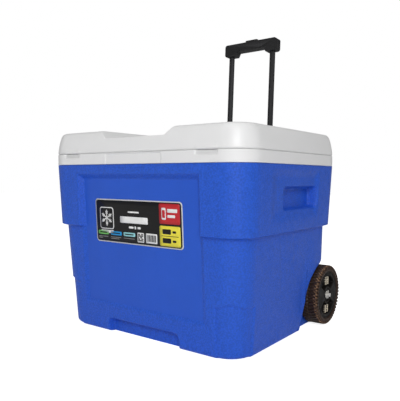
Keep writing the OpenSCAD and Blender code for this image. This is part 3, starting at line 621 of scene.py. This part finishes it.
# rounds a chain of points by cutting each corner twice at a quarter and three quarters
def cornerCut(chain, times=2):
    chain = np.array(chain, float)
    for _ in range(times):
        a, b = chain[:-1], chain[1:]
        inner = np.stack([0.75 * a + 0.25 * b, 0.25 * a + 0.75 * b], 1).reshape(-1, chain.shape[1])
        chain = np.concatenate([chain[:1], inner, chain[-1:]])
    return chain


# lowers the lid to a flat channel with sloping sides that runs from front to rear
def channelled(x, z):
    b = lid
    floor = lidHigh[2] - b["channelFloor"] + softMax(0 * x, (np.abs(x) - b["channelHalf"]) / b["channelRun"], 1.6)
    return softMin(z, floor, b["channelSoft"])


def lidSkin():
    b = lid
    xs = stations((0, 78, 8), (84, 118, 24), (122, 168, 6), (171, 181, 9), (184, 218, 8), (221, 232.5, 9))
    ends = np.linspace(-1, 1, 37)
    cols = ringColumns(xs, 14, ends)
    rows = []

    def ring(z, inset, shape=True):
        r = 60 - b["cornerShare"] * inset
        x, y, nx, ny = halfRing(inset, r, cols)
        bulge = (b["bulgeOut"] * ease((x - b["bulgeFrom"] + 4) / 8) * ease((b["bulgeTo"] + 4 - x) / 8)
                 * (1 - ease((z - lidLow[2] - 2) / b["bulgeHigh"])))
        y = np.where((ny < -0.95) & (z > lidLow[2] + 0.5), y - bulge, y)
        z = channelled(x, z + 0 * x) if shape else z + 0 * x
        rows.append(np.stack([x, y, z], -1))

    ring(lidLow[2] + 0.9, 14, False)
    ring(lidLow[2] + 0.1, 2.5, False)
    for h, inset in cornerCut(b["steps"]):
        ring(lidLow[2] + h, inset)
    side = mirroredRows(rows)
    wall = gridObject("lidWall", side, startPole=(0, midY, lidLow[2] + 0.9))
    # the top inside the last ring: straight lines from front to rear, so that the channel follows them
    inset = b["steps"][-1][1]
    lx, ly, _, _ = halfRing(inset, 60 - b["cornerShare"] * inset, cols)
    front = (cols[:, 0] <= 1)
    tx, ty = lx[front], ly[front]
    v = ends[:, None]
    y = midY + v * (midY - ty)[None]
    x = tx[None] + 0 * v
    z = channelled(x, lidHigh[2] + 0 * x) + 0 * y
    right = np.stack([x, y, z], -1)
    full = np.concatenate([(right * np.array([-1, 1, 1]))[:, ::-1][:, :-1], right], axis=1)
    top = gridObject("lidTop", full, around=False)
    return weld(joinObjects("lid_skin", [wall, top]), 0.0001)


def lidPlug():
    b = lid
    cols = ringColumns(stations((0, 232.5, 24)), 10, np.linspace(-1, 1, 20))
    rows = []

    def ring(z, inset, r):
        x, y, nx, ny = halfRing(inset, r, cols)
        rows.append(np.stack([x, y, z + 0 * x], -1))

    base = lidLow[2]
    ring(base + 1.5, 5, 55)
    ring(base + 0.4, 4, 56)
    ring(base + 0.05, 5, 55)
    for a in np.radians([0, 30, 60, 90]):
        ring(base + 0.05 - 2 * (1 - math.cos(a)), b["plugInset"] - 2 + 2 * math.sin(a), b["plugCorner"] + 1)
    for a in np.radians(np.linspace(0, 90, 5)):
        ring(base - b["plugDeep"] + b["plugRound"] * (1 - math.sin(a)),
             b["plugInset"] + b["plugRound"] * (1 - math.cos(a)), b["plugCorner"])
    ring(base - b["plugDeep"], b["plugInset"] + 22, b["plugCorner"] - 6)
    for a in np.radians(np.linspace(0, 90, 4)):          # shallow pan pressed into the plug
        ring(base - b["plugDeep"] + b["panDeep"] * math.sin(a),
             b["plugInset"] + 24 + b["panDeep"] * (1 - math.cos(a)), b["plugCorner"] - 8)
    ring(base - b["plugDeep"] + b["panDeep"], b["plugInset"] + 90, 12)
    obj = gridObject("lid_plug", mirroredRows(rows), startPole=(0, midY, base + 1.5),
                     endPole=(0, midY, base - b["plugDeep"] + b["panDeep"]), flip=True)
    return weld(obj)


finishPiece(lidSkin(), "lid", materials["whiteShell"], "white_shell", "lid_shell", "lid_foam")
finishPiece(lidPlug(), "lid", materials["whiteShell"], "white_shell", "lid_liner")
print("lid made")

# label

labelLow, labelHigh = boxMm("front_label")
label = {
    "halfWide": (labelHigh[0] - labelLow[0]) / 2, "middle": (labelHigh[0] + labelLow[0]) / 2,
    "low": labelLow[2], "high": labelHigh[2], "round": 8, "rim": 2.6, "thick": 0.6, "layer": 0.14,
    "badge": (-119, 279, 35), "inks": {
        "silver": srgb(222, 222, 218), "black": srgb(24, 23, 23), "white": srgb(240, 240, 238),
        "red": srgb(196, 44, 50), "yellow": srgb(240, 226, 74), "green": srgb(112, 190, 98),
        "blue": srgb(32, 150, 214), "cyan": srgb(150, 212, 216), "grey": srgb(150, 150, 150)},
}
labelTilt = math.tan(math.radians(body["panelLean"]))


# flat mark with rounded corners on the label, built as shrinking rings round its middle, with a thin edge
def mark(x0, z0, x1, z1, r, level, turn=0):
    n = 6
    a = np.radians(np.linspace(0, 90, n))
    hx, hz = (x1 - x0) / 2, (z1 - z0) / 2
    r = min(r, hx, hz)
    cu, cv = hx - r, hz - r
    u = np.concatenate([cu + r * np.cos(a), -cu - r * np.sin(a), -cu - r * np.cos(a), cu + r * np.sin(a)])
    v = np.concatenate([cv + r * np.sin(a), cv + r * np.cos(a), -cv - r * np.sin(a), -cv - r * np.cos(a)])
    ct, st = math.cos(math.radians(turn)), math.sin(math.radians(turn))
    u, v = u * ct - v * st, u * st + v * ct
    mx, mz = (x0 + x1) / 2 + label["middle"], (z0 + z1) / 2
    lift = label["thick"] + level * label["layer"]
    rows = []
    for share, out in ((1, -0.05), (1, lift), (0.6, lift)):
        x, z = mx + u * share, mz + v * share
        y = body["panelDepth"] + (body["panelTop"] - z) * labelTilt - out
        rows.append(np.stack([x, y, z], -1))
    pole = (mx, body["panelDepth"] + (body["panelTop"] - mz) * labelTilt - lift, mz)
    back = (mx, body["panelDepth"] + (body["panelTop"] - mz) * labelTilt + 0.05, mz)
    return gridObject("mark", np.stack(rows), startPole=back, endPole=pole)


def labelMarks():
    b = label
    w, low, high = b["halfWide"], b["low"], b["high"]
    marks = {"silver": [mark(-w, low, w, high, b["round"], 0)],
             "black": [mark(-w + b["rim"], low + b["rim"], w - b["rim"], high - b["rim"], b["round"] - 1.5, 1)]}
    x, z, sz = b["badge"]
    white = [mark(x, z - sz + 5, x + 46, z + 22, 7, 2), mark(x + 1, z - sz - 4, x + 45, z - sz + 2.5, 2.5, 2)]
    inner = [mark(x + 2.4, z - sz + 7.4, x + 43.6, z + 19.6, 5, 3)]
    cx, cz = x + 23, z - 3.5
    for turn in (0, 60, 120):                              # six-armed frost mark in the badge
        white.append(mark(cx - 1.3, cz - 19, cx + 1.3, cz + 19, 1.2, 4, turn))
    for k in range(6):
        a = math.radians(60 * k + 90)
        px, pz = cx + 12.5 * math.cos(a), cz + 12.5 * math.sin(a)
        for turn in (60 * k + 55, 60 * k - 55):
            white.append(mark(px - 1, pz - 4.5, px + 1, pz + 4.5, 1, 4, turn))
    for left, right_, mid, tall in ((-52, 34, 274, 15), (-27, 8, 292, 3.6), (-25, -10, 257, 5), (-7, -2, 257, 7),
                                    (2, 12, 257, 5)):
        white.append(mark(left, mid - tall / 2, right_, mid + tall / 2, 2.2, 2))
    marks["white"] = white
    marks["red"] = [mark(68, 271, 126, 315, 4, 2)]
    marks["yellow"] = [mark(68, 223, 126, 267, 4, 2)]
    # can shape and level bars on the red square, plain bars on the yellow one
    white += [mark(75, 280, 87, 306, 3, 3), mark(91, 296, 119, 304, 2, 3), mark(91, 285, 113, 291, 2, 3)]
    marks["red"].append(mark(77, 284, 85, 301, 1.5, 4))
    inner += [mark(76, 249, 100, 260, 2.4, 3), mark(104, 252, 114, 257, 1.5, 3), mark(73, 244.4, 121, 245.6, 0.5, 3),
              mark(76, 229.5, 100, 240.5, 2.4, 3), mark(104, 232, 114, 237, 1.5, 3)]
    for ink, x0, x1 in (("green", -127, -92), ("blue", -85, -49), ("cyan", -43, -6)):
        marks[ink] = [mark(x0, 236, x1, 245, 2.5, 2)]
        inner.append(mark(x0 + 5, 239.2, x1 - 5, 241.8, 1, 3))
    marks["grey"] = [mark(x0, z0, x0 + wide, z0 + 1.2, 0.5, 2) for x0, z0, wide in
                     ((-127, 230.5, 33), (-127, 227, 15), (-85, 230.5, 34), (-85, 227, 28), (-43, 230.5, 35))]
    white += [mark(1, 225, 21, 247, 2, 2), mark(27, 225, 60, 247, 2, 2)]
    for k in range(9):                                     # plain stripes and checks
        inner.append(mark(31 + 2.9 * k, 228.5, 32.4 + 2.9 * k + 0.5 * (k % 3), 243.5, 0.2, 3))
    checks = [(i, j) for i in range(5) for j in range(5) if (i * 3 + j * j * 2 + i * j) % 3 != 1]
    inner += [mark(3.2 + 3.2 * i, 227.6 + 3.5 * j, 5.9 + 3.2 * i, 230.6 + 3.5 * j, 0.2, 3) for i, j in checks]
    marks["ink"] = inner
    return marks


for ink, parts in labelMarks().items():
    colour = label["inks"]["black" if ink == "ink" else ink]
    look = dict(finishes["labelBlack"], colour=colour)
    piece = joinObjects("label_" + ink, parts)
    finishPiece(piece, "cooler_body", finish("label_" + ink, look), "label_film",
                *(["front_label"] if ink == "black" else []))
print("label made")

# wheels

wheel = {
    "lugs": 50, "lugDeep": 6.5, "faceNick": 3.8, "slant": 0.12, "perLug": 8,
    "outer": 291, "inner": 245, "tread": 74, "bead": 59,
    "dishR": 17, "dishX": 284.9, "faceX": 288.2, "lobeIn": 21, "lobeOut": 48.5, "lobeHalf": 57, "lobeDeep": 9,
    "ribAt": 6, "ribHalf": 1.2, "ribFrom": 24, "ribTo": 46.5, "hubR": 58.7,
}


def wheelPoints(x, r, theta):
    return np.stack([x, axleY + r * np.cos(theta), axleZ + r * np.sin(theta)], -1)


# tyre: a closed profile turned about the axle, cut by slanting grooves that deepen over the shoulder
def tyre(side):
    w = wheel
    o, i, t = w["outer"], w["inner"], w["tread"]
    chain = [(o - 3, w["bead"]), (o - 0.8, w["bead"] + 1), (o, w["bead"] + 4)]
    chain += [(o, t - 6), (o - 1, t - 2.4), (o - 4, t)]
    chain += [(x, t) for x in np.linspace(o - 9, i + 9, 11)]
    chain += [(i + 4, t), (i + 1, t - 2.4), (i, t - 6), (i, w["bead"] + 3), (i + 1.5, w["bead"])]
    profile = cornerCut(chain, 1)
    px, pr = profile[:, 0][:, None], profile[:, 1][:, None]
    theta = np.linspace(0, 2 * math.pi, w["lugs"] * w["perLug"], endpoint=False)[None]
    across = (px - (o + i) / 2) / ((o - i) / 2)
    wave = 0.5 - 0.5 * np.cos(w["lugs"] * (theta + w["slant"] * np.abs(across)))
    groove = ease((0.42 - wave) / 0.3)
    high = ease((pr - (t - 9)) / 7)
    r = pr - w["lugDeep"] * groove * high * (0.3 + 0.7 * np.abs(across) ** 3)
    middle = ease((0.09 - np.abs(across)) / 0.05) * ease((pr - (t - 1)) / 0.8)
    r = r - 1.6 * middle
    face = ease((px - (o - 3)) / 2.5) + ease((i + 3 - px) / 2.5)
    x = px - np.sign(across) * w["faceNick"] * groove * face * ease((pr - (t - 11)) / 4)
    points = wheelPoints(side * x, r, theta)
    # painted glints: tan highlights on the lug tops over the outer shoulder, with a few scattered over the rest of
    # the tread
    glint = 0.5 + 0.5 * np.sin(theta * 37 + 5 * across) * np.sin(theta * 91 - 11 * across)
    shoulder = ease((across - 0.5) / 0.3) * ease((0.97 - across) / 0.05)
    wear_and_glint = high * (0.7 * shoulder * ease((glint - 0.66) / 0.2) + 0.1 * ease((glint - 0.8) / 0.15))
    points = np.concatenate([points, points[:1]], axis=0)
    wear_and_glint = np.concatenate([wear_and_glint, wear_and_glint[:1]], axis=0)
    name = "tyre_" + ("right" if side > 0 else "left")
    return weld(gridObject(name, points, flip=side > 0, masks={"wear_and_glint": np.clip(wear_and_glint, 0, 1)}))


# hub: a turned face with a central dish and two kidney-shaped hollows, each crossed by a pair of upright ribs
def hub(side):
    w = wheel
    radii = stations((6, 15, 6), (15.5, 20, 8), (20.5, 52, 48), (53, 57.6, 6))
    theta = np.linspace(0, 2 * math.pi, 260, endpoint=False)[None]
    r = radii[:, None]
    x = w["dishX"] + (w["faceX"] - w["dishX"]) * ease((r - w["dishR"] + 1) / 3)
    fromUp = np.abs(np.abs(np.degrees(np.arctan2(np.sin(theta), np.cos(theta)))) - 90)
    sideways = r * np.cos(theta)
    sideEdge = (w["lobeHalf"] - fromUp) * math.pi / 180 * r
    lobe = ease((sideEdge + 1) / 4) * ease((r - w["lobeIn"] + 1) / 3.5) * ease((w["lobeOut"] + 1 - r) / 3.5)
    rib = ease((w["ribHalf"] + 0.7 - np.abs(np.abs(sideways) - w["ribAt"])) / 1.3) * ease(
        (np.abs(r * np.sin(theta)) - w["ribFrom"]) / 2) * ease((w["ribTo"] - np.abs(r * np.sin(theta))) / 2)
    x = x - w["lobeDeep"] * lobe + (w["lobeDeep"] - 1) * lobe * rib
    ring = 1.2 * ease((r - 54) / 1.2) * ease((56.8 - r) / 1.2)
    front = wheelPoints(side * (x - ring), r + 0 * theta, theta)
    # painted highlight on the rib tops inside the hollows
    bright = ease((lobe * rib - 0.8) / 0.2)
    o, i = w["outer"] - 4.5, w["inner"] + 1
    back = [(o + 1, w["hubR"]), (o - 2, w["hubR"]), (i + 2, w["hubR"]), (i, w["hubR"] - 2), (i, 40), (i + 3, 37),
            (i + 9, 35), (i + 9, 18), (i + 3, 15), (i - 0.4, 13), (i - 0.4, 7), (i + 1, 6)]
    backPoints = np.concatenate([wheelPoints(side * bx + 0 * theta, br + 0 * theta, theta) for bx, br in back])
    points = np.concatenate([front, backPoints, front[:1]], axis=0)
    mask = np.concatenate([bright, np.zeros((len(back) + 1, theta.shape[1]))], axis=0)
    return weld(gridObject("hub_" + ("right" if side > 0 else "left"), points, flip=side > 0, masks={"bright": mask}))


for side, word in ((1, "right"), (-1, "left")):
    finishPiece(tyre(side), "wheel_" + word, materials["treadBlack"], "wheel_tread", "wheel_tyre_" + word)
    finishPiece(hub(side), "wheel_" + word, materials["hubBlack"], "wheel_plastic", "wheel_hub_" + word)
print("wheels made")

# the frame's own pieces, with their edges broken

fittings = {
    "grip_front": ("gripBlack", 3.2), "grip_rear": ("gripBlack", 3.2), "release_button": ("gripBlack", 1.2),
    "rail_bracket_upper": ("frameBlack", 1.6), "rail_bracket_lower": ("frameBlack", 1.6),
    "hinge_base_left": ("whiteFitting", 0.7), "hinge_base_right": ("whiteFitting", 0.7),
    "hinge_leaf_left": ("whiteFitting", 0.7), "hinge_leaf_right": ("whiteFitting", 0.7),
    "drain_spout": ("whiteFitting", 0.6), "drain_nut": ("whiteFitting", 0.8), "drain_plug": ("whiteFitting", 0.8),
    "drain_gasket": ("rubberBlack", 0.3),
    "outer_tube_left": ("tubeBlack", 0.3), "outer_tube_right": ("tubeBlack", 0.3),
    "inner_tube_left": ("tubeBlack", 0.3), "inner_tube_right": ("tubeBlack", 0.3),
    "tube_bush_left": ("frameBlack", 0.3), "tube_bush_right": ("frameBlack", 0.3),
    "axle": ("zincSteel", 0.8), "axle_washers": ("zincSteel", 0.3), "cotter_pins": ("zincSteel", 0.3),
    "hinge_pins": ("zincSteel", 0.4), "hinge_base_screws": ("zincSteel", 0.4),
    "hinge_leaf_screws": ("zincSteel", 0.4),
    "rail_screws": ("zincSteel", 0.6), "grip_screws": ("zincSteel", 0.4),
}
innerFinish = {
    "tube_glide_left": "frameBlack", "tube_glide_right": "frameBlack", "axle_sleeve": "frameBlack",
    "lock_pins": "zincSteel", "push_rods": "zincSteel", "button_spring": "zincSteel",
}
slotOf = {part["node"]: part["material_slot"] for part in frame["record"]["subparts"]}
bodyOf = {node: name for name, members in frame["record"]["behaviour"]["bodies"].items() for node in members}


# a merged copy of a frame node, its flat faces joined up again, with a small round on every sharp edge
def brokenEdges(node, width):
    import bmesh
    source = frame["nodes"][node]
    mesh = source.data.copy()
    mesh.name = node + "_finished"
    bm = bmesh.new()
    bm.from_mesh(mesh)
    bmesh.ops.remove_doubles(bm, verts=bm.verts, dist=0.00001)
    bmesh.ops.dissolve_limit(bm, angle_limit=math.radians(1), verts=bm.verts, edges=bm.edges)
    bm.to_mesh(mesh)
    bm.free()
    mesh.polygons.foreach_set("use_smooth", np.ones(len(mesh.polygons), bool))
    obj = bpy.data.objects.new(node + "_finished", mesh)
    bpy.context.scene.collection.objects.link(obj)
    bevel = obj.modifiers.new("brokenEdge", "BEVEL")
    bevel.width = width / 1000
    bevel.segments = 3 if width > 1 else 2
    bevel.limit_method = "ANGLE"
    bevel.angle_limit = math.radians(32)
    bevel.harden_normals = True
    bevel.miter_outer = "MITER_ARC"
    return obj


for node, (finishName, width) in fittings.items():
    piece = brokenEdges(node, width)
    finishPiece(piece, bodyOf[node], materials[finishName], slotOf[node], node)
for node, finishName in innerFinish.items():
    obj = frame["nodes"][node]
    obj.data.materials.clear()
    obj.data.materials.append(materials[finishName])
print("fittings finished")

# ground, light, camera

stageLook = {"floor": srgb(250, 250, 250), "floorGlow": 0.08, "floorSeen": 0.9, "world": (1, 1, 1, 1),
             "worldPower": 0.26, "worldSeen": 1}


# the backdrop and floor look brighter than the light they give
def seenByCamera(tree, socket, lights, seen):
    path = tree.nodes.new("ShaderNodeLightPath")
    power = tree.nodes.new("ShaderNodeMapRange")
    power.inputs["To Min"].default_value = lights
    power.inputs["To Max"].default_value = seen
    tree.links.new(path.outputs["Is Camera Ray"], power.inputs["Value"])
    tree.links.new(power.outputs["Result"], socket)


def groundSheet():
    n = np.linspace(-9, 9, 13)
    x, y = np.meshgrid(n, n)
    mesh = bpy.data.meshes.new("ground")
    points = np.stack([x, y, 0 * x - 0.0002], -1).reshape(-1, 3)
    index = np.arange(169).reshape(13, 13)
    quads = np.stack([index[:-1, :-1], index[:-1, 1:], index[1:, 1:], index[1:, :-1]], -1).reshape(-1, 4)
    mesh.from_pydata(points.tolist(), [], quads.tolist())
    obj = bpy.data.objects.new("ground", mesh)
    bpy.context.scene.collection.objects.link(obj)
    pale = finish("paleFloor", {"colour": stageLook["floor"], "drift": 0.004, "rough": 0.8})
    shader = pale.node_tree.nodes["Principled BSDF"]
    shader.inputs["Emission Color"].default_value = stageLook["floor"]
    seenByCamera(pale.node_tree, shader.inputs["Emission Strength"], stageLook["floorGlow"], stageLook["floorSeen"])
    mesh.materials.append(pale)


groundSheet()
bpy.context.scene.view_settings.view_transform = "Standard"
world = bpy.data.worlds.new("studio")
bpy.context.scene.world = world
world.use_nodes = True
background = world.node_tree.nodes["Background"]
background.inputs["Color"].default_value = stageLook["world"]
seenByCamera(world.node_tree, background.inputs["Strength"], stageLook["worldPower"], stageLook["worldSeen"])


def softLight(name, place, aim, size, power):
    lamp = bpy.data.lights.new(name, "AREA")
    lamp.shape = "RECTANGLE"
    lamp.size, lamp.size_y = size
    lamp.energy = power
    obj = bpy.data.objects.new(name, lamp)
    bpy.context.scene.collection.objects.link(obj)
    obj.location = place
    obj.rotation_mode = "QUATERNION"
    obj.rotation_quaternion = (Vector(aim) - Vector(place)).to_track_quat("-Z", "Y")


softLight("key", (1.7, -2.1, 1.5), (0.1, -0.1, 0.25), (0.9, 0.9), 37)
softLight("overhead", (0.2, -0.4, 2.6), (0, 0, 0.3), (1.6, 1.6), 9)
softLight("fillLeft", (-2.2, -1.9, 0.9), (-0.1, -0.1, 0.25), (1.6, 1.6), 4)

cameraLook = {"yaw": 36.70, "pitch": 2.68, "roll": 0.22, "place": (0.7812, -1.0569, 0.3721), "lens": 45.09}


def addCamera():
    yaw, pitch, roll = (math.radians(cameraLook[k]) for k in ("yaw", "pitch", "roll"))
    ahead = np.array([-math.sin(yaw) * math.cos(pitch), math.cos(yaw) * math.cos(pitch), -math.sin(pitch)])
    right = np.array([math.cos(yaw), math.sin(yaw), 0])
    up = np.cross(right, ahead)
    right, up = (right * math.cos(roll) + up * math.sin(roll), up * math.cos(roll) - right * math.sin(roll))
    data = bpy.data.cameras.new("productCamera")
    data.lens, data.sensor_width, data.sensor_fit = cameraLook["lens"], 36, "AUTO"
    data.clip_start, data.clip_end = 0.05, 60
    obj = bpy.data.objects.new("productCamera", data)
    rows = [[right[i], up[i], -ahead[i], cameraLook["place"][i]] for i in range(3)]
    obj.matrix_world = Matrix(rows + [[0, 0, 0, 1]])
    bpy.context.scene.collection.objects.link(obj)
    bpy.context.scene.camera = obj


addCamera()
